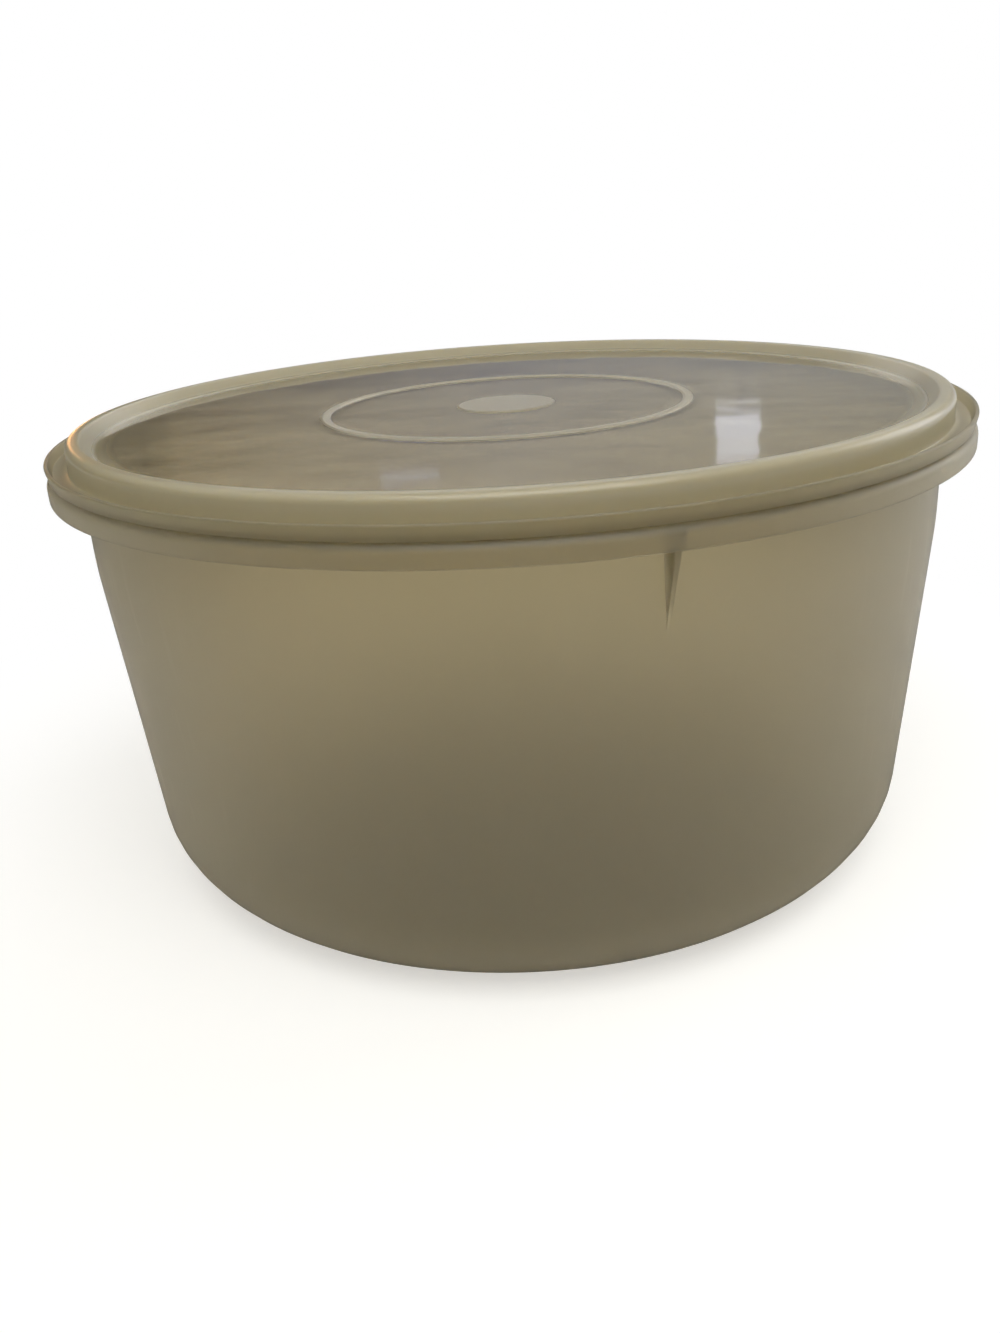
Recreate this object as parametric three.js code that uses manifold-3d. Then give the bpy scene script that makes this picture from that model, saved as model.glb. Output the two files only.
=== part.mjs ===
// Round cake carrier: a tapered tub with a skirted rim, closed by a press-on lid.
// Millimetres, +Z up, -Y is the front. The origin is the centre of the base, on the standing surface.
import * as THREE from 'three';
import { mergeVertices } from 'three/addons/utils/BufferGeometryUtils.js';
import Module from 'manifold-3d';

// Tub body
const tubHeight = 155.1; // standing surface to the top of the rim
const mouthRadius = 143; // inside of the collar
const footRadius = 135.4; // where the tapered outside would meet the standing surface
const collarHeight = 38; // upright band from the rim down to the taper
const wall = 2;
const floorThickness = 2.2;
const baseCornerRadius = 28; // outside of the rounded bottom corner
const taperBlendRadius = 150; // soft bend where the taper turns upright

// Tub rim, flange, skirt and gussets
const rimBeadWidth = 3.5; // thickened rim that the lid presses over
const rimBeadHeight = 4.6;
const flangeDrop = 8.4; // top of the rim down to the top of the flange
const flangeReach = 10.2; // from the collar out to the skirt's outside
const flangeThickness = 1.8;
const flangeRound = 2.5; // from the top of the flange over to the skirt's outside
const skirtDepth = 6.5; // top of the flange down to the skirt's lower edge
const skirtThickness = 1.6;
const gussetCount = 3;
const gussetAzimuth = 15; // degrees from the front towards +X, of the first gusset
const gussetThickness = 2.7; // under the flange
const gussetFootThickness = 0.6; // where it runs out
const gussetHeight = 32.3; // top of the flange down to where the gusset runs out

// Lid
const lidGap = 0.3; // between the rim and the groove under the lid's bead, all round
const lidWall = 1.6;
const crestRound = 2.6; // outer shoulder of the bead
const crestInset = 4.8; // bead's outside in to the top of its inner slope
const slopeWidth = 4; // inner slope, from the crest in to the panel
const panelDrop = 3.9; // crest down to the panel
const panelThickness = 1.5;
const lipReach = 7; // bead's outside out to the edge of the lip
const lipHeight = 4.5; // underside of the lip up to its turned-up edge
const lipWall = 1.3;
const lipFlare = 1.6; // lean of the turned-up part, from its foot out to its edge
const lipRound = 0.7; // foot of the turned-up part, and the channel inside it
const plugDepth = 9; // crest down to the end of the plug ring
const ringRadius = 63.2; // raised ring on the panel
const ringWidth = 4;
const ringHeight = 0.6;
const discRadius = 17; // plain raised disc in the middle of the panel
const discHeight = 0.4;

// Small rounding, and how finely arcs and rings are divided
const insideFillet = 0.8;
const edgeShare = 0.45; // an edge's rounding as a share of the wall that it ends
const slopeFillet = 2;
const ringSteps = 72;

// Heights and radii that follow from the sizes above
const collarRadius = mouthRadius + wall;
const collarBottom = tubHeight - collarHeight;
const taper = Math.atan2(collarRadius - footRadius, collarBottom);
const rimRadius = mouthRadius + rimBeadWidth;
const rimStep = rimRadius - collarRadius;
const flangeTop = tubHeight - flangeDrop;
const flangeUnder = flangeTop - flangeThickness;
const flangeRadius = collarRadius + flangeReach;
const skirtInside = flangeRadius - skirtThickness;
const skirtBottom = flangeTop - skirtDepth;
const grooveTop = tubHeight + lidGap;
const grooveRadius = rimRadius + lidGap;
const grooveRound = rimBeadWidth / 2 + lidGap;
const crest = grooveTop + lidWall;
const beadRadius = grooveRadius + lidWall;
const plugRadius = mouthRadius - lidGap;
const slopeTop = beadRadius - crestInset;
const panelTop = crest - panelDrop;
const panelUnder = panelTop - panelThickness;
const beadBottom = flangeTop + lidGap;
const lipTop = beadBottom + lipHeight;
const lipRadius = beadRadius + lipReach;
const lipFoot = lipRadius - lipFlare;

const wasm = await Module();
wasm.setup();

// An outline through corners [radius, height, fillet, steps], with a tangent arc where a fillet is given.
function roundedOutline(corners) {
  const points = corners.map(([radius, height]) => new THREE.Vector2(radius, height));
  return corners.flatMap(([, , fillet = 0, steps = 1], index) => {
    const corner = points[index];
    if (fillet === 0) return [corner];
    const back = points[index - 1].clone().sub(corner).normalize();
    const ahead = points[index + 1].clone().sub(corner).normalize();
    const halfAngle = Math.acos(back.dot(ahead)) / 2;
    const middle = back.clone().add(ahead).normalize();
    const centre = corner.clone().addScaledVector(middle, fillet / Math.sin(halfAngle));
    const start = corner.clone().addScaledVector(back, fillet / Math.tan(halfAngle)).sub(centre);
    const sweep = (Math.PI - 2 * halfAngle) * Math.sign(ahead.cross(back));
    const arc = [];
    for (let step = 0; step <= steps; step++) {
      const turned = start.clone().rotateAround(new THREE.Vector2(), (sweep * step) / steps);
      arc.push(turned.add(centre));
    }
    return arc;
  });
}

// Joins shared vertices and drops the faces that a pole or a repeated point leaves without area.
function weld(geometry) {
  geometry.deleteAttribute('normal');
  geometry.deleteAttribute('uv');
  const welded = mergeVertices(geometry, 1e-4);
  const { array } = welded.index;
  const kept = [];
  for (let i = 0; i < array.length; i += 3) {
    const [a, b, c] = [array[i], array[i + 1], array[i + 2]];
    if (a !== b && b !== c && c !== a) kept.push(a, b, c);
  }
  welded.setIndex(kept);
  return welded;
}

function revolve(corners) {
  const geometry = new THREE.LatheGeometry(roundedOutline(corners), ringSteps);
  geometry.rotateX(Math.PI / 2);
  return weld(geometry);
}

function toSolid(geometry) {
  const vertProperties = new Float32Array(geometry.attributes.position.array);
  const triVerts = new Uint32Array(geometry.index.array);
  return new wasm.Manifold(new wasm.Mesh({ numProp: 3, vertProperties, triVerts }));
}

function toGeometry(solid) {
  const { vertProperties, triVerts } = solid.getMesh();
  const geometry = new THREE.BufferGeometry();
  geometry.setAttribute('position', new THREE.BufferAttribute(vertProperties, 3));
  geometry.setIndex(new THREE.BufferAttribute(triVerts, 1));
  return geometry;
}

// The tub's section, from the middle of the base up the outside, over the rim and down the inside.
function tubShell() {
  const skirtEdge = skirtThickness * edgeShare;
  const rimRound = rimBeadWidth / 2;
  const insideCollarBottom = collarBottom + wall * Math.tan(taper / 2);
  const insideFoot = footRadius + floorThickness * Math.tan(taper) - wall / Math.cos(taper);
  return revolve([
    [0, 0],
    [footRadius, 0, baseCornerRadius, 6],
    [collarRadius, collarBottom, taperBlendRadius, 2],
    [collarRadius, flangeUnder, insideFillet],
    [skirtInside, flangeUnder, insideFillet],
    [skirtInside, skirtBottom, skirtEdge],
    [flangeRadius, skirtBottom, skirtEdge],
    [flangeRadius, flangeTop, flangeRound, 3],
    [collarRadius, flangeTop, insideFillet],
    [collarRadius, tubHeight - rimBeadHeight - rimStep],
    [rimRadius, tubHeight - rimBeadHeight],
    [rimRadius, tubHeight, rimRound, 3],
    [mouthRadius, tubHeight, rimRound, 3],
    [mouthRadius, insideCollarBottom, taperBlendRadius - wall, 2],
    [insideFoot, floorThickness, baseCornerRadius - wall, 6],
    [0, floorThickness],
  ]);
}

// One upright fin from the collar to the skirt, rooted half a wall deep in both and in the flange. It gets thinner
// towards its foot.
function gusset(azimuth) {
  const outer = skirtInside + skirtThickness / 2;
  const inner = collarRadius - wall / 2;
  const top = flangeUnder + flangeThickness / 2;
  const tip = skirtBottom + skirtThickness / 2;
  const slope = (tip - flangeTop + gussetHeight) / (outer - collarRadius);
  const foot = tip - slope * (outer - inner);
  const shape = new THREE.Shape([
    new THREE.Vector2(inner, foot),
    new THREE.Vector2(outer, tip),
    new THREE.Vector2(outer, top),
    new THREE.Vector2(inner, top),
  ]);
  const fin = new THREE.ExtrudeGeometry(shape, { depth: 1, bevelEnabled: false });
  fin.translate(0, 0, -1 / 2);
  const corners = fin.attributes.position;
  for (let index = 0; index < corners.count; index++) {
    const rise = (corners.getY(index) - foot) / (top - foot);
    const thickness = THREE.MathUtils.lerp(gussetFootThickness, gussetThickness, rise);
    corners.setZ(index, corners.getZ(index) * thickness);
  }
  fin.rotateX(Math.PI / 2);
  fin.rotateZ(azimuth - Math.PI / 2);
  return weld(fin);
}

function tub() {
  let solid = toSolid(tubShell());
  for (let index = 0; index < gussetCount; index++) {
    const azimuth = THREE.MathUtils.degToRad(gussetAzimuth + (360 * index) / gussetCount);
    solid = solid.add(toSolid(gusset(azimuth)));
  }
  return toGeometry(solid);
}

// The lid's section, from under the panel round the plug, the groove and the lip, and back over the bead.
function lid() {
  const edge = lidWall * edgeShare;
  const plugBottom = crest - plugDepth;
  const lipEdge = lipWall * edgeShare;
  const channelFloor = beadBottom + lipWall;
  const ringTop = panelTop + ringHeight;
  const discTop = panelTop + discHeight;
  return revolve([
    [0, panelUnder],
    [plugRadius - lidWall, panelUnder, insideFillet],
    [plugRadius - lidWall, plugBottom, edge],
    [plugRadius, plugBottom, edge],
    [plugRadius, grooveTop, grooveRound, 3],
    [grooveRadius, grooveTop, grooveRound, 3],
    [grooveRadius, beadBottom],
    [lipFoot, beadBottom, lipRound, 2],
    [lipRadius, lipTop, lipEdge],
    [lipRadius - lipWall, lipTop, lipEdge],
    [lipFoot - lipWall, channelFloor, lipRound],
    [beadRadius, channelFloor, lipRound],
    [beadRadius, crest, crestRound, 4],
    [slopeTop, crest, slopeFillet, 2],
    [slopeTop - slopeWidth, panelTop, slopeFillet, 2],
    [ringRadius + ringWidth / 2, panelTop],
    [ringRadius + ringWidth / 4, ringTop],
    [ringRadius - ringWidth / 4, ringTop],
    [ringRadius - ringWidth / 2, panelTop],
    [discRadius, panelTop],
    [discRadius - discHeight, discTop],
    [0, discTop],
  ]);
}

function piece(name, geometry, settings) {
  geometry.computeVertexNormals();
  const mesh = new THREE.Mesh(geometry, new THREE.MeshStandardMaterial({ metalness: 0, ...settings }));
  mesh.name = name;
  return mesh;
}

const cakeCarrier = new THREE.Group();
cakeCarrier.add(
  piece('tub', tub(), { color: 0x8a8067, roughness: 0.5 }),
  piece('lid', lid(), { color: 0x8f866c, roughness: 0.25 }),
);

export default cakeCarrier;
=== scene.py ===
import bpy
import numpy as np
from mathutils import Matrix, Vector


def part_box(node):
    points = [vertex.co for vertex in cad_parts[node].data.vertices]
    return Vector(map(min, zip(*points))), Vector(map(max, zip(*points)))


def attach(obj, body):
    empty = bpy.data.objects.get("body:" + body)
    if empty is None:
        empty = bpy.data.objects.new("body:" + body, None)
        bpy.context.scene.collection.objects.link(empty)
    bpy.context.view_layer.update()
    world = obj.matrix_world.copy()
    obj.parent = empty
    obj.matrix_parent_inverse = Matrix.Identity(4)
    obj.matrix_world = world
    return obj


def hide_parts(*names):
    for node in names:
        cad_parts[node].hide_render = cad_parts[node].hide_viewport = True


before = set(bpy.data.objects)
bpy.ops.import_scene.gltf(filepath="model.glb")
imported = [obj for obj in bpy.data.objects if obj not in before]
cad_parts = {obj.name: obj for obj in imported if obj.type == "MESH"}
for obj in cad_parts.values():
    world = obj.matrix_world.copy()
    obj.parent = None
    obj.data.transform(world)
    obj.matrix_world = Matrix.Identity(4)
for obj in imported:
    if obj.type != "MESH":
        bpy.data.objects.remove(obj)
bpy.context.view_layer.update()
mm = 0.001
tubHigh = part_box("tub")[1]
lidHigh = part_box("lid")[1]
print("frame loaded:", sorted(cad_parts))


# A hex sRGB colour as linear RGBA: c / 12.92 below 0.04045, else ((c + 0.055) / 1.055) to the power 2.4.
def colour(hexValue):
    c = np.array([int(hexValue[i:i + 2], 16) for i in (1, 3, 5)]) / 255
    linear = np.where(c <= 0.04045, c / 12.92, ((c + 0.055) / 1.055) ** 2.4)
    return (*linear, 1.0)


# One node with its settings, and its inputs by name or number: a socket is linked and a value is set.
# A Mix node for colours takes them at inputs 6 and 7 and gives the mix at output 2.
def addNode(tree, kind, inputs=None, **settings):
    node = tree.nodes.new(kind)
    for key, value in settings.items():
        setattr(node, key, value)
    for key, value in (inputs or {}).items():
        if isinstance(value, bpy.types.NodeSocket):
            tree.links.new(value, node.inputs[key])
        else:
            node.inputs[key].default_value = value
    return node


def newMaterial(name):
    material = bpy.data.materials.new(name)
    material.use_nodes = True
    material.node_tree.nodes.clear()
    return material, material.node_tree


# A section through corners (radius, height, fillet) in mm. A fillet is the arc that touches both sides of its
# corner. Arcs and straights are divided evenly, with steps no longer than the two given.
def roundedSection(corners, arcDegrees=9.0, straightStep=4.0):
    place = np.array([corner[:2] for corner in corners], float)
    runs = [place[:1]]
    for i in range(1, len(corners) - 1):
        fillet = corners[i][2] if len(corners[i]) > 2 else 0
        run = place[i:i + 1]
        if fillet:
            back, ahead = place[i - 1] - place[i], place[i + 1] - place[i]
            back, ahead = back / np.hypot(*back), ahead / np.hypot(*ahead)
            half = np.arccos(back @ ahead) / 2
            middle = (back + ahead) / np.hypot(*(back + ahead))
            centre = place[i] + middle * fillet / np.sin(half)
            start = place[i] + back * fillet / np.tan(half) - centre
            sweep = (np.pi - 2 * half) * np.sign(ahead[0] * back[1] - ahead[1] * back[0])
            steps = max(np.degrees(abs(sweep)) / arcDegrees, abs(sweep) * fillet / straightStep)
            turn = np.linspace(0, sweep, 2 + int(steps))
            run = centre + np.stack([start[0] * np.cos(turn) - start[1] * np.sin(turn),
                                     start[0] * np.sin(turn) + start[1] * np.cos(turn)], axis=1)
        runs.append(run)
    runs.append(place[-1:])
    section = [runs[0]]
    for before, after in zip(runs, runs[1:]):
        steps = int(np.hypot(*(after[0] - before[-1])) / straightStep) + 1
        share = np.linspace(0, 1, steps + 1)[1:, None]
        section += [before[-1] + (after[0] - before[-1]) * share, after[1:]]
    return np.concatenate(section)


# A closed turned piece: the point at section place i and angle a, from the front towards +X, is
# (r sin a, -r cos a, z). The section starts and ends on the axis, and each of those ends is one vertex.
def turnedPiece(name, radius, height, angles, material, sharpDegrees=34):
    grid = np.stack([radius * np.sin(angles), -radius * np.cos(angles), height + 0 * angles], axis=-1) * mm
    places, columns = grid.shape[:2]
    points = np.concatenate([grid[0, :1], grid[1:-1].reshape(-1, 3), grid[-1, :1]])
    index = np.arange((places - 2) * columns).reshape(places - 2, columns) + 1
    beside = np.roll(index, -1, axis=1)
    quads = np.stack([index[:-1], beside[:-1], beside[1:], index[1:]], axis=-1).reshape(-1, 4)
    startCap = np.stack([np.zeros(columns, int), beside[0], index[0]], axis=-1)
    endCap = np.stack([index[-1], beside[-1], np.full(columns, len(points) - 1)], axis=-1)
    mesh = bpy.data.meshes.new(name)
    mesh.from_pydata(points.tolist(), [], quads.tolist() + startCap.tolist() + endCap.tolist())
    mesh.shade_smooth()
    mesh.set_sharp_from_angle(angle=np.radians(sharpDegrees))
    mesh.materials.append(material)
    piece = bpy.data.objects.new(name, mesh)
    bpy.context.scene.collection.objects.link(piece)
    return piece


# Injection-moulded natural polyethylene, from a mould with a fine satin finish. It is milky and see-through
# at once: what stands behind the wall shows as a soft blur, and light that enters it comes out all over.
satin = dict(
    base="#DAD2B8", paler="#E0D8C0", clear=0.93, roughness=0.5, ior=1.51,
    scatterRadius=(4.0, 3.4, 2.4),  # mm that red, green and blue travel in the wall
    absorbed="#BAAE92", absorption=60,  # the body's tint, and how fast it takes light, per metre
    cloudSize=60, cloudDetail=3, cloudRoughness=0.45,  # mm: flow clouds in the melt
    peelSize=1.6, peelDetail=2, peelHeight=0.02, peelStrength=0.3,  # mm: pebbling, drawn coarser to show
    markWidth=3.5, markLength=45, markDetail=3,  # mm: upright marks that the mould drags into the wall
    markFrom=0.6, markTo=0.8, markRoughness=0.12,  # the share of the wall with marks, and their extra shine
)


def satinPolyethylene():
    material, tree = newMaterial("mouldedSatinPolyethylene")
    place = addNode(tree, "ShaderNodeTexCoord").outputs["Object"]
    cloud = addNode(tree, "ShaderNodeTexNoise", {
        "Vector": place, "Scale": 1 / (satin["cloudSize"] * mm), "Detail": satin["cloudDetail"],
        "Roughness": satin["cloudRoughness"]})
    tint = addNode(tree, "ShaderNodeMix", {
        "Factor": cloud.outputs["Fac"], 6: colour(satin["base"]), 7: colour(satin["paler"])},
        data_type="RGBA")
    stretch = [1 / (satin[size] * mm) for size in ("markWidth", "markWidth", "markLength")]
    drawn = addNode(tree, "ShaderNodeVectorMath", {0: place, 1: stretch}, operation="MULTIPLY")
    marks = addNode(tree, "ShaderNodeTexNoise", {
        "Vector": drawn.outputs["Vector"], "Scale": 1.0, "Detail": satin["markDetail"]})
    finish = addNode(tree, "ShaderNodeMapRange", {
        "Value": marks.outputs["Fac"], "From Min": satin["markFrom"], "From Max": satin["markTo"],
        "To Min": satin["roughness"], "To Max": satin["roughness"] - satin["markRoughness"]})
    peel = addNode(tree, "ShaderNodeTexNoise", {
        "Vector": place, "Scale": 1 / (satin["peelSize"] * mm), "Detail": satin["peelDetail"]})
    bump = addNode(tree, "ShaderNodeBump", {
        "Height": peel.outputs["Fac"], "Strength": satin["peelStrength"],
        "Distance": satin["peelHeight"] * mm})
    shader = addNode(tree, "ShaderNodeBsdfPrincipled", {
        "Base Color": tint.outputs[2], "Roughness": finish.outputs["Result"], "IOR": satin["ior"],
        "Transmission Weight": satin["clear"], "Subsurface Weight": 1.0,
        "Subsurface Radius": [value * mm for value in satin["scatterRadius"]], "Subsurface Scale": 1.0,
        "Normal": bump.outputs["Normal"]})
    body = addNode(tree, "ShaderNodeVolumeAbsorption", {
        "Color": colour(satin["absorbed"]), "Density": satin["absorption"]})
    addNode(tree, "ShaderNodeOutputMaterial", {
        "Surface": shader.outputs["BSDF"], "Volume": body.outputs["Volume"]})
    return material


# The same polyethylene from a mould that is polished over the panel, which mirrors the room at a low angle.
# The rim is milky and smoother than the tub, and the ring and the disc are lightly frosted and look paler;
# on the ring the paler colour is also a painted highlight, for the light that its raised ridge catches.
gloss = dict(
    # frost: the paler colour of the ring and the disc; on the ring it is also a painted highlight where the
    # ridge catches light.
    panel="#CAC1A6", panelPaler="#D0C8AF", frost="#CFC8B4", rim="#D4CBAC", ior=1.51,
    clear=0.9, frostedClear=0.58, milky=0.48, lipClear=0.9,  # how see-through panel, frost, rim and lip are
    polished=0.04, ring=0.5, disc=0.38, rimRoughness=0.28, lipRoughness=0.5,  # how rough each finish is
    scatterRadius=(1.0, 0.85, 0.6),  # mm that red, green and blue travel in the wall
    absorbed="#B8A880", absorption=30,  # the body's tint, and how fast it takes light, per metre
    waveSize=45, waveDetail=2, waveRoughness=0.4, waveHeight=0.3,  # mm: slow waves in the thin panel
    hazeSize=14, hazeDetail=5, hazeRoughness=0.6, haze=0.05,  # mm, and the roughness that wiping has left
    soft=0.6, rimFade=6,  # mm: the blur where a finish ends, and the way in from the rim to the clear panel
    lipFrom=0.6, lipFull=1.8,  # mm out from the bead over which its finish turns into the lip's
)


def glossPolyethylene():
    material, tree = newMaterial("mouldedGlossPolyethylene")
    soft = gloss["soft"]
    beadRadius = lid["lipRadius"] - lid["lipReach"]
    lipFrom, lipFull = beadRadius + gloss["lipFrom"], beadRadius + gloss["lipFull"]
    panelEdge = beadRadius - lid["crestInset"] - lid["slopeWidth"]
    ringInside = lid["ringRadius"] - lid["ringWidth"] / 2
    ringOutside = lid["ringRadius"] + lid["ringWidth"] / 2
    place = addNode(tree, "ShaderNodeTexCoord").outputs["Object"]
    flat = addNode(tree, "ShaderNodeVectorMath", {0: place, 1: (1, 1, 0)}, operation="MULTIPLY")
    radius = addNode(tree, "ShaderNodeVectorMath", {0: flat.outputs["Vector"]}, operation="LENGTH")
    radius = radius.outputs["Value"]
    # The finish is a roughness for each radius.
    share = addNode(tree, "ShaderNodeMath", {0: radius, 1: lid["lipRadius"] * mm}, operation="DIVIDE")
    finish = addNode(tree, "ShaderNodeValToRGB", {"Fac": share.outputs[0]})
    bands = [
        (0, "disc"), (lid["discRadius"], "disc"), (lid["discRadius"] + soft, "polished"),
        (ringInside, "polished"), (ringInside + soft, "ring"), (ringOutside - soft, "ring"),
        (ringOutside, "polished"), (panelEdge - soft, "polished"), (panelEdge + soft, "rimRoughness"),
        (lipFrom, "rimRoughness"), (lipFull, "lipRoughness"),
    ]
    ramp = finish.color_ramp
    while len(ramp.elements) < len(bands):
        ramp.elements.new(1.0)
    for element, (at, name) in zip(ramp.elements, bands):
        element.position = at / lid["lipRadius"]
        element.color = (gloss[name], gloss[name], gloss[name], 1)
    finish = finish.outputs["Color"]
    onPanel = addNode(tree, "ShaderNodeMapRange", {
        "Value": radius, "From Min": panelEdge * mm, "From Max": (panelEdge - gloss["rimFade"]) * mm})
    onPanel = onPanel.outputs["Result"]
    frostedWithPaintedRingHighlight = addNode(tree, "ShaderNodeMapRange", {
        "Value": finish, "From Min": gloss["polished"], "From Max": gloss["ring"]})
    frostedWithPaintedRingHighlight = frostedWithPaintedRingHighlight.outputs["Result"]
    wave = addNode(tree, "ShaderNodeTexNoise", {
        "Vector": place, "Scale": 1 / (gloss["waveSize"] * mm), "Detail": gloss["waveDetail"],
        "Roughness": gloss["waveRoughness"]})
    tint = addNode(tree, "ShaderNodeMix", {
        "Factor": wave.outputs["Fac"], 6: colour(gloss["panel"]), 7: colour(gloss["panelPaler"])},
        data_type="RGBA")
    # Paler over the ring and the disc; on the ring this is also a painted highlight, for the light that the
    # raised ridge catches.
    tint = addNode(tree, "ShaderNodeMix", {
        "Factor": frostedWithPaintedRingHighlight, 6: tint.outputs[2], 7: colour(gloss["frost"])}, data_type="RGBA")
    tint = addNode(tree, "ShaderNodeMix", {
        "Factor": onPanel, 6: colour(gloss["rim"]), 7: tint.outputs[2]}, data_type="RGBA")
    haze = addNode(tree, "ShaderNodeTexNoise", {
        "Vector": place, "Scale": 1 / (gloss["hazeSize"] * mm), "Detail": gloss["hazeDetail"],
        "Roughness": gloss["hazeRoughness"]})
    wiped = addNode(tree, "ShaderNodeMath", {0: onPanel, 1: gloss["haze"]}, operation="MULTIPLY")
    worn = addNode(tree, "ShaderNodeMath", {
        0: haze.outputs["Fac"], 1: wiped.outputs[0], 2: finish}, operation="MULTIPLY_ADD")
    bump = addNode(tree, "ShaderNodeBump", {
        "Height": wave.outputs["Fac"], "Strength": onPanel, "Distance": gloss["waveHeight"] * mm})
    onLip = addNode(tree, "ShaderNodeMapRange", {
        "Value": radius, "From Min": lipFrom * mm, "From Max": lipFull * mm,
        "To Min": gloss["milky"], "To Max": gloss["lipClear"]})
    frost = addNode(tree, "ShaderNodeMapRange", {
        "Value": frostedWithPaintedRingHighlight, "To Min": gloss["clear"], "To Max": gloss["frostedClear"]})
    clearness = addNode(tree, "ShaderNodeMapRange", {
        "Value": onPanel, "To Min": onLip.outputs["Result"], "To Max": frost.outputs["Result"]})
    shader = addNode(tree, "ShaderNodeBsdfPrincipled", {
        "Base Color": tint.outputs[2], "Roughness": worn.outputs[0], "IOR": gloss["ior"],
        "Transmission Weight": clearness.outputs["Result"], "Subsurface Weight": 1.0,
        "Subsurface Radius": [value * mm for value in gloss["scatterRadius"]], "Subsurface Scale": 1.0,
        "Normal": bump.outputs["Normal"]})
    body = addNode(tree, "ShaderNodeVolumeAbsorption", {
        "Color": colour(gloss["absorbed"]), "Density": gloss["absorption"]})
    addNode(tree, "ShaderNodeOutputMaterial", {
        "Surface": shader.outputs["BSDF"], "Volume": body.outputs["Volume"]})
    return material


# Sizes in mm and degrees.
tub = dict(
    height=tubHigh.z / mm, mouthRadius=143, footRadius=135.4, collarHeight=38, wall=2, floor=2.2,
    baseCorner=28, taperBlend=150, rimWidth=3.5, rimBead=4.6, insideFillet=0.8,
    flangeRadius=tubHigh.x / mm, flangeDrop=8.4, flangeThickness=1.8, flangeRound=2.5,
    skirtDepth=6.5, skirtThickness=1.6,
    edgeShare=0.45,  # an edge's rounding as a share of the wall that it ends
    gussetCount=3, gussetAzimuth=15, gussetThickness=2.7, gussetFootThickness=0.6, gussetHeight=32.3,
    finAcross=(-1, -0.97, -0.9, -0.7, -0.35, 0, 0.35, 0.7, 0.9, 0.97, 1),  # columns, in half thicknesses
    finSquareness=8, finClear=1.5,  # how square a gusset is, and the half thicknesses kept free beside it
    columns=288,
)


# The tub's section, from the middle of the base up the outside, over the rim and down the inside.
def tubCorners():
    height, wall, inside = tub["height"], tub["wall"], tub["insideFillet"]
    mouthRadius, footRadius, flangeRadius = tub["mouthRadius"], tub["footRadius"], tub["flangeRadius"]
    collarRadius, collarBottom = mouthRadius + wall, height - tub["collarHeight"]
    taper = np.arctan2(collarRadius - footRadius, collarBottom)
    rimRadius, rimRound = mouthRadius + tub["rimWidth"], tub["rimWidth"] / 2
    beadBottom, flangeTop = height - tub["rimBead"], height - tub["flangeDrop"]
    flangeUnder, skirtBottom = flangeTop - tub["flangeThickness"], flangeTop - tub["skirtDepth"]
    skirtInside, skirtEdge = flangeRadius - tub["skirtThickness"], tub["skirtThickness"] * tub["edgeShare"]
    insideFoot = footRadius + tub["floor"] * np.tan(taper) - wall / np.cos(taper)
    insideBottom = collarBottom + wall * np.tan(taper / 2)
    return [
        (0, 0), (footRadius, 0, tub["baseCorner"]), (collarRadius, collarBottom, tub["taperBlend"]),
        (collarRadius, flangeUnder, inside), (skirtInside, flangeUnder, inside),
        (skirtInside, skirtBottom, skirtEdge), (flangeRadius, skirtBottom, skirtEdge),
        (flangeRadius, flangeTop, tub["flangeRound"]), (collarRadius, flangeTop, inside),
        (collarRadius, beadBottom - rimRadius + collarRadius), (rimRadius, beadBottom),
        (rimRadius, height, rimRound), (mouthRadius, height, rimRound),
        (mouthRadius, insideBottom, tub["taperBlend"] - wall),
        (insideFoot, tub["floor"], tub["baseCorner"] - wall), (0, tub["floor"]),
    ]


# A gusset fills the channel under the flange across a few close columns. There each channel point slides to
# the same share of the way along the fin's edge, a straight line from the wall to the skirt, by
# (1 - |s|^n)^(1/n), where s runs from -1 to 1 across the fin and n is how square it is. The fin's thickness
# grows evenly with height, and the columns' angles follow it.
def tubPiece(material):
    section = roundedSection(tubCorners())
    flangeTop = tub["height"] - tub["flangeDrop"]
    finFoot = flangeTop - tub["gussetHeight"]
    finTip = flangeTop - tub["skirtDepth"] + tub["skirtThickness"] / 2
    outside = np.arange(len(section)) < np.argmax(section[:, 0])
    first = np.argmax(outside & (section[:, 1] > finFoot))
    last = np.max(np.nonzero(outside & (section[:, 1] > finTip))[0])
    channel = section[first:last + 1]
    along = np.concatenate([[0], np.cumsum(np.hypot(*np.diff(channel, axis=0).T))])
    fin = channel[0] + (channel[-1] - channel[0]) * (along / along[-1])[:, None]
    across = np.array(tub["finAcross"])
    filled = (1 - np.abs(across) ** tub["finSquareness"]) ** (1 / tub["finSquareness"])
    centres = np.radians(tub["gussetAzimuth"] + 360 / tub["gussetCount"] * np.arange(tub["gussetCount"]))
    halfAngle = tub["gussetThickness"] / 2 / tub["mouthRadius"]
    even = 2 * np.pi * np.arange(tub["columns"]) / tub["columns"]
    even = even[np.abs(even[:, None] - centres).min(axis=1) > tub["finClear"] * halfAngle]
    middle = np.concatenate([even, np.repeat(centres, len(across))])
    side = np.concatenate([0 * even, np.tile(across, len(centres))])
    fill = np.concatenate([0 * even, np.tile(filled, len(centres))])
    order = np.argsort(middle + halfAngle * side)
    middle, side, fill = middle[order], side[order], fill[order]
    shape = np.repeat(section[:, None, :], len(middle), axis=1)
    shape[first:last + 1] += (fin - channel)[:, None, :] * fill[:, None]
    thickness = np.interp(shape[..., 1], [finFoot, flangeTop],
                          [tub["gussetFootThickness"], tub["gussetThickness"]])
    angles = middle + side * thickness / 2 / tub["mouthRadius"]
    return turnedPiece("tubShell", shape[..., 0], shape[..., 1], angles, material)


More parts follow.
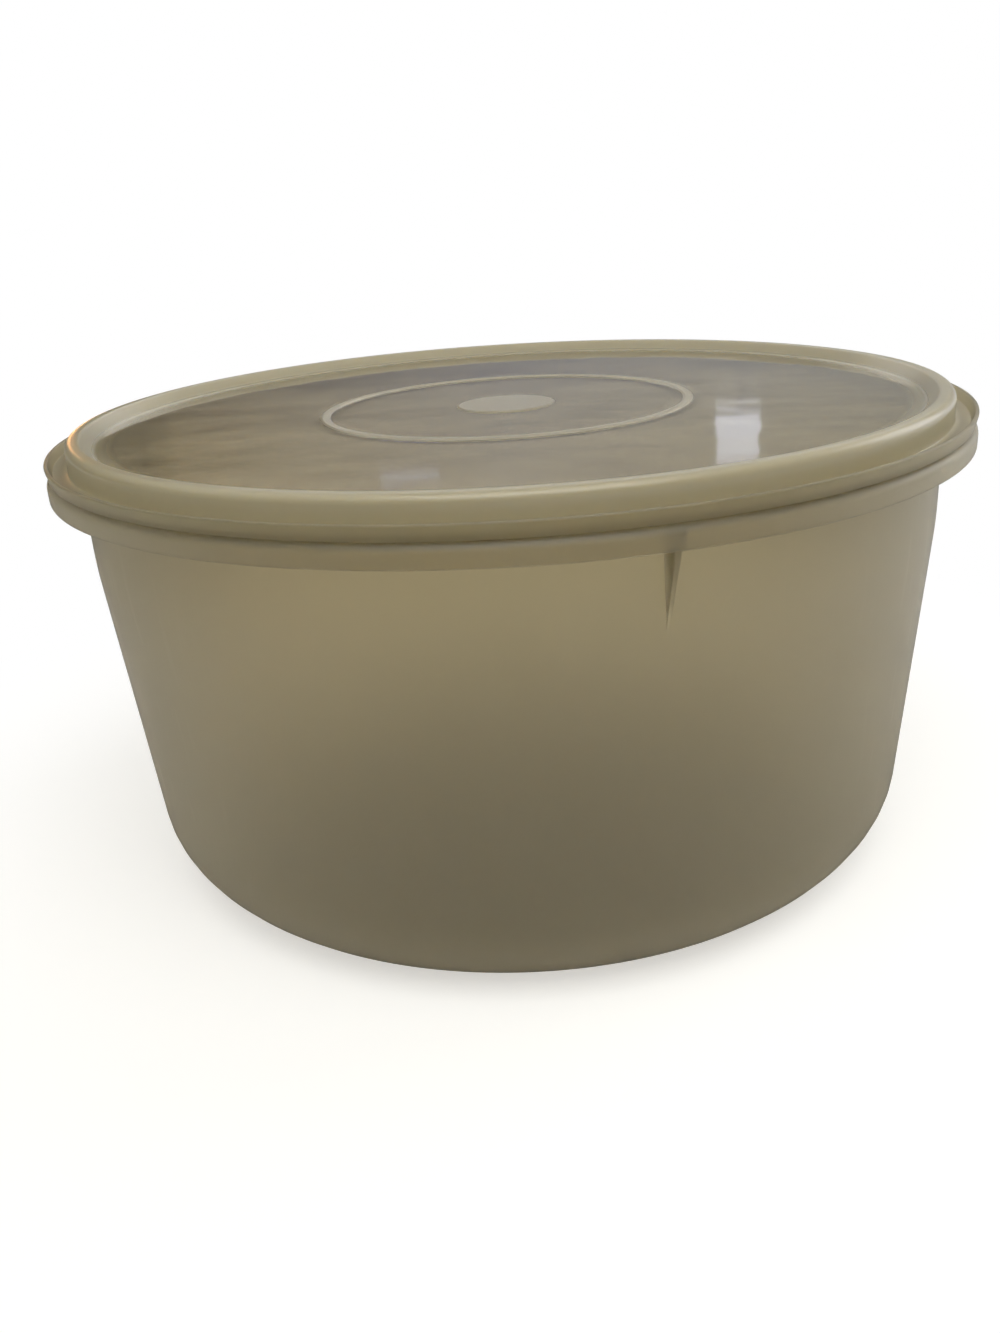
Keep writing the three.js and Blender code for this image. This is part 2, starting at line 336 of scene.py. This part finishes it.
# Sizes in mm.
lid = dict(
    crest=lidHigh.z / mm, wall=1.6, gap=0.3, crestRound=2.6, crestInset=4.8, slopeWidth=4, slopeFillet=2,
    panelDrop=3.9, panelThickness=1.5, plugDepth=9, insideFillet=0.8, grooveEdge=0.36,
    lipRadius=lidHigh.x / mm, lipReach=7, lipHeight=4.5, lipWall=1.3, lipFlare=1.0, lipRound=0.4,
    ringRadius=63.2, ringWidth=4, ringHeight=0.6, ringFillet=0.8, discRadius=17, discHeight=0.4,
    edgeShare=0.45,  # an edge's rounding as a share of the wall that it ends
    columns=288,
)


# The lid's section, from under the panel round the plug, the groove and the lip, and back over the bead.
def lidCorners():
    crest, wall, gap = lid["crest"], lid["wall"], lid["gap"]
    edge, inside, slopeFillet = wall * lid["edgeShare"], lid["insideFillet"], lid["slopeFillet"]
    lipRadius, lipWall, lipRound = lid["lipRadius"], lid["lipWall"], lid["lipRound"]
    ringRadius, ringWidth, ringFillet = lid["ringRadius"], lid["ringWidth"], lid["ringFillet"]
    beadRadius, grooveTop = lipRadius - lid["lipReach"], crest - wall
    grooveRadius, grooveRound = beadRadius - wall, tub["rimWidth"] / 2 + gap
    beadBottom = tub["height"] - tub["flangeDrop"] + gap
    plugRadius, plugBottom = tub["mouthRadius"] - gap, crest - lid["plugDepth"]
    plugInside = plugRadius - wall
    lipFoot, lipTop = lipRadius - lid["lipFlare"], beadBottom + lid["lipHeight"]
    lipEdge, channelFloor = lipWall * lid["edgeShare"], beadBottom + lipWall
    panelTop = crest - lid["panelDrop"]
    panelUnder, slopeTop = panelTop - lid["panelThickness"], beadRadius - lid["crestInset"]
    ringTop, discTop = panelTop + lid["ringHeight"], panelTop + lid["discHeight"]
    return [
        (0, panelUnder), (plugInside, panelUnder, inside), (plugInside, plugBottom, edge),
        (plugRadius, plugBottom, edge), (plugRadius, grooveTop, grooveRound),
        (grooveRadius, grooveTop, grooveRound), (grooveRadius, beadBottom, lid["grooveEdge"]),
        (lipFoot, beadBottom, lipRound), (lipRadius, lipTop, lipEdge), (lipRadius - lipWall, lipTop, lipEdge),
        (lipFoot - lipWall, channelFloor, lipRound), (beadRadius, channelFloor, lipRound),
        (beadRadius, crest, lid["crestRound"]), (slopeTop, crest, slopeFillet),
        (slopeTop - lid["slopeWidth"], panelTop, slopeFillet),
        (ringRadius + ringWidth / 2, panelTop, ringFillet),
        (ringRadius + ringWidth / 4, ringTop, ringFillet),
        (ringRadius - ringWidth / 4, ringTop, ringFillet),
        (ringRadius - ringWidth / 2, panelTop, ringFillet),
        (lid["discRadius"], panelTop), (lid["discRadius"] - lid["discHeight"], discTop), (0, discTop),
    ]


def lidPiece(material):
    section = roundedSection(lidCorners())
    angles = 2 * np.pi * np.arange(lid["columns"]) / lid["columns"]
    return turnedPiece("lidShell", section[:, :1], section[:, 1:], angles, material)


tubShell = tubPiece(satinPolyethylene())
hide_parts("tub")
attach(tubShell, "tub")
print("tub made:", len(tubShell.data.polygons), "faces")

lidShell = lidPiece(glossPolyethylene())
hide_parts("lid")
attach(lidShell, "lid")
print("lid made:", len(lidShell.data.polygons), "faces")

white = "#FFFFFF"
stage = dict(
    floorSize=12, floorColour="#D4D3CE",  # metres across, and a pale grey
    fadeStart=0.15, fadeEnd=0.34,  # metres from the middle over which the floor turns to the white background
    throughStart=0.11, throughEnd=0.19,  # the same, as seen through the plastic
    cameraLift=0.5, throughLift=0.06,  # light added to the near floor for the camera, and through the plastic
    mirrorFrom=-0.5, mirrorTo=0.0,  # metres in X over which the far floor turns white for mirror rays
)


# Pale floor: diffuse near the object, where it keeps the shadow, and further out the white of the background
# for camera and see-through rays and, towards the right, for mirror rays.
def makeFloor():
    material, tree = newMaterial("paleFloor")
    place = addNode(tree, "ShaderNodeTexCoord").outputs["Object"]
    distance = addNode(tree, "ShaderNodeVectorMath", {0: place}, operation="LENGTH").outputs["Value"]
    side = addNode(tree, "ShaderNodeSeparateXYZ", {0: place}).outputs["X"]
    ray = addNode(tree, "ShaderNodeLightPath").outputs
    far = addNode(tree, "ShaderNodeMapRange", {
        "Value": distance, "From Min": stage["fadeStart"], "From Max": stage["fadeEnd"]},
        interpolation_type="SMOOTHSTEP")
    through = addNode(tree, "ShaderNodeMapRange", {
        "Value": distance, "From Min": stage["throughStart"], "From Max": stage["throughEnd"]},
        interpolation_type="SMOOTHSTEP")
    mirrored = addNode(tree, "ShaderNodeMapRange", {
        "Value": side, "From Min": stage["mirrorFrom"], "From Max": stage["mirrorTo"],
        "To Max": ray["Is Glossy Ray"]})
    seen = addNode(tree, "ShaderNodeMath", {
        0: ray["Is Camera Ray"], 1: mirrored.outputs["Result"]}, operation="MAXIMUM")
    seen = addNode(tree, "ShaderNodeMath", {
        0: seen.outputs[0], 1: far.outputs["Result"]}, operation="MULTIPLY")
    passed = addNode(tree, "ShaderNodeMath", {
        0: ray["Is Transmission Ray"], 1: through.outputs["Result"]}, operation="MULTIPLY")
    background = addNode(tree, "ShaderNodeMath", {
        0: seen.outputs[0], 1: passed.outputs[0]}, operation="MAXIMUM")
    cameraLift = addNode(tree, "ShaderNodeMath", {
        0: ray["Is Camera Ray"], 1: stage["cameraLift"]}, operation="MULTIPLY")
    throughLift = addNode(tree, "ShaderNodeMath", {
        0: ray["Is Transmission Ray"], 1: stage["throughLift"]}, operation="MULTIPLY")
    lift = addNode(tree, "ShaderNodeMath", {
        0: cameraLift.outputs[0], 1: throughLift.outputs[0]}, operation="MAXIMUM")
    near = addNode(tree, "ShaderNodeBsdfDiffuse", {"Color": colour(stage["floorColour"])})
    glow = addNode(tree, "ShaderNodeEmission", {"Color": colour(white), "Strength": lift.outputs[0]})
    lifted = addNode(tree, "ShaderNodeAddShader", {0: near.outputs["BSDF"], 1: glow.outputs["Emission"]})
    backdrop = addNode(tree, "ShaderNodeEmission", {"Color": colour(white), "Strength": 1.0})
    mixed = addNode(tree, "ShaderNodeMixShader", {
        0: background.outputs[0], 1: lifted.outputs[0], 2: backdrop.outputs["Emission"]})
    addNode(tree, "ShaderNodeOutputMaterial", {"Surface": mixed.outputs["Shader"]})
    half = stage["floorSize"] / 2
    corners = [(-half, -half, 0), (half, -half, 0), (half, half, 0), (-half, half, 0)]
    mesh = bpy.data.meshes.new("floor")
    mesh.from_pydata(corners, [], [(0, 1, 2, 3)])
    mesh.materials.append(material)
    floor = bpy.data.objects.new("floor", mesh)
    bpy.context.scene.collection.objects.link(floor)


# Soft even room light from the world. Camera and see-through rays meet white. Mirror rays meet a darker room:
# a dark wall up to a corner on the left, then cooler walls, a brighter band low down and a white ceiling.
room = dict(
    light="#B2B1AE",
    leftWall="#32281A", corner="#5A4E40", middle="#6E748A", right="#888882", horizon="#CCD0D8",
    sideSpan=0.4, cornerAt=-0.272, cornerBlur=0.004,  # parts of the direction's X
    horizonTop=0.2, ceilingFrom=0.3, ceilingTo=0.9,  # parts of its Z
)


def makeWorld():
    world = bpy.data.worlds.new("studio")
    bpy.context.scene.world = world
    world.use_nodes = True
    tree = world.node_tree
    tree.nodes.clear()
    span, cornerAt, cornerBlur = room["sideSpan"], room["cornerAt"], room["cornerBlur"]
    direction = addNode(tree, "ShaderNodeTexCoord").outputs["Generated"]
    split = addNode(tree, "ShaderNodeSeparateXYZ", {0: direction})
    fromRight = addNode(tree, "ShaderNodeMapRange", {
        "Value": split.outputs["X"], "From Min": -span, "From Max": span})
    fromAbove = addNode(tree, "ShaderNodeMapRange", {
        "Value": split.outputs["Z"], "From Min": room["ceilingFrom"], "From Max": room["ceilingTo"]})
    overHorizon = addNode(tree, "ShaderNodeMapRange", {
        "Value": split.outputs["Z"], "From Min": 0.0, "From Max": room["horizonTop"]})
    walls = addNode(tree, "ShaderNodeValToRGB", {"Fac": fromRight.outputs["Result"]})
    stops = [
        (-span, "leftWall"), (cornerAt - cornerBlur, "leftWall"), (cornerAt + cornerBlur, "corner"),
        (0, "middle"), (span, "right"),
    ]
    ramp = walls.color_ramp
    while len(ramp.elements) < len(stops):
        ramp.elements.new(1.0)
    for element, (across, name) in zip(ramp.elements, stops):
        element.position = (across + span) / (2 * span)
        element.color = colour(room[name])
    mirrored = addNode(tree, "ShaderNodeMix", {
        "Factor": fromAbove.outputs["Result"], 6: walls.outputs["Color"], 7: colour(white)}, data_type="RGBA")
    horizon = addNode(tree, "ShaderNodeMix", {
        "Factor": fromRight.outputs["Result"], 6: colour(room["leftWall"]), 7: colour(room["horizon"])},
        data_type="RGBA")
    mirrored = addNode(tree, "ShaderNodeMix", {
        "Factor": overHorizon.outputs["Result"], 6: horizon.outputs[2], 7: mirrored.outputs[2]},
        data_type="RGBA")
    ray = addNode(tree, "ShaderNodeLightPath").outputs
    seen = addNode(tree, "ShaderNodeMath", {
        0: ray["Is Camera Ray"], 1: ray["Is Transmission Ray"]}, operation="MAXIMUM")
    light = addNode(tree, "ShaderNodeMix", {
        "Factor": ray["Is Glossy Ray"], 6: colour(room["light"]), 7: mirrored.outputs[2]}, data_type="RGBA")
    light = addNode(tree, "ShaderNodeMix", {
        "Factor": seen.outputs[0], 6: light.outputs[2], 7: colour(white)}, data_type="RGBA")
    shader = addNode(tree, "ShaderNodeBackground", {"Color": light.outputs[2], "Strength": 1.0})
    addNode(tree, "ShaderNodeOutputWorld", {"Surface": shader.outputs["Background"]})


# Places and sizes in metres, power in watts. The strip and the pane are there for the panel to mirror.
lamps = {
    "frontSoftbox": dict(place=(0.1, -0.75, 1.3), size=(1.2, 1.0), power=10.5, tint=white),
    "backSoftbox": dict(place=(0.2, 1.5, 0.9), size=(1.6, 0.5), power=2.5, tint=white),
    "rightWindow": dict(place=(1.4, 0.6, 0.7), size=(0.9, 0.9), power=6, tint="#F4F7FF"),
    "leftLamp": dict(place=(-0.75, 1.35, 0.25), size=(0.15, 0.15), power=0.7, tint="#FFB878"),
    "farStrip": dict(place=(-0.196, 1.83, 0.58), size=(0.11, 0.006), power=0.0032, tint="#B8C8FF"),
    "windowPane": dict(place=(0.48, 2.04, 0.58), size=(0.09, 0.11), power=0.029, tint="#E4EAFF"),
}
lampAim = Vector((0, 0, 0.08))


def makeLamps():
    for name, lamp in lamps.items():
        data = bpy.data.lights.new(name, "AREA")
        data.shape = "RECTANGLE"
        data.size, data.size_y = lamp["size"]
        data.energy, data.color = lamp["power"], colour(lamp["tint"])[:3]
        light = bpy.data.objects.new(name, data)
        light.location = lamp["place"]
        light.rotation_euler = (lampAim - light.location).to_track_quat("-Z", "Y").to_euler()
        light.visible_camera = False
        bpy.context.scene.collection.objects.link(light)


# Place in mm, angles in degrees, and the focal length in pixels of an image of that height.
view = dict(
    place=(0, -417.39, 220.56), pitch=21.77, yaw=-1.11, roll=-3.70,
    focalPixels=1172.46, imageHeight=1333, clipStart=10,
)


# Camera axes: forward from yaw and pitch, then right and up turned about it by the roll.
def makeCamera():
    yaw, pitch, roll = np.radians([view["yaw"], view["pitch"], view["roll"]])
    forward = np.array([np.sin(yaw) * np.cos(pitch), np.cos(yaw) * np.cos(pitch), -np.sin(pitch)])
    level = np.array([np.cos(yaw), -np.sin(yaw), 0])
    upright = np.cross(level, forward)
    right = np.cos(roll) * level + np.sin(roll) * upright
    up = np.cos(roll) * upright - np.sin(roll) * level
    data = bpy.data.cameras.new("photoCamera")
    data.lens = view["focalPixels"] / view["imageHeight"] * data.sensor_width
    data.clip_start = view["clipStart"] * mm
    camera = bpy.data.objects.new("photoCamera", data)
    turn = np.eye(4)
    turn[:3, :3] = np.stack([right, up, -forward], axis=1)
    turn[:3, 3] = np.array(view["place"]) * mm
    camera.matrix_world = Matrix(turn)
    bpy.context.scene.collection.objects.link(camera)
    bpy.context.scene.camera = camera


makeFloor()
makeWorld()
makeLamps()
makeCamera()
bpy.context.scene.view_settings.view_transform = "Standard"
print("stage made")
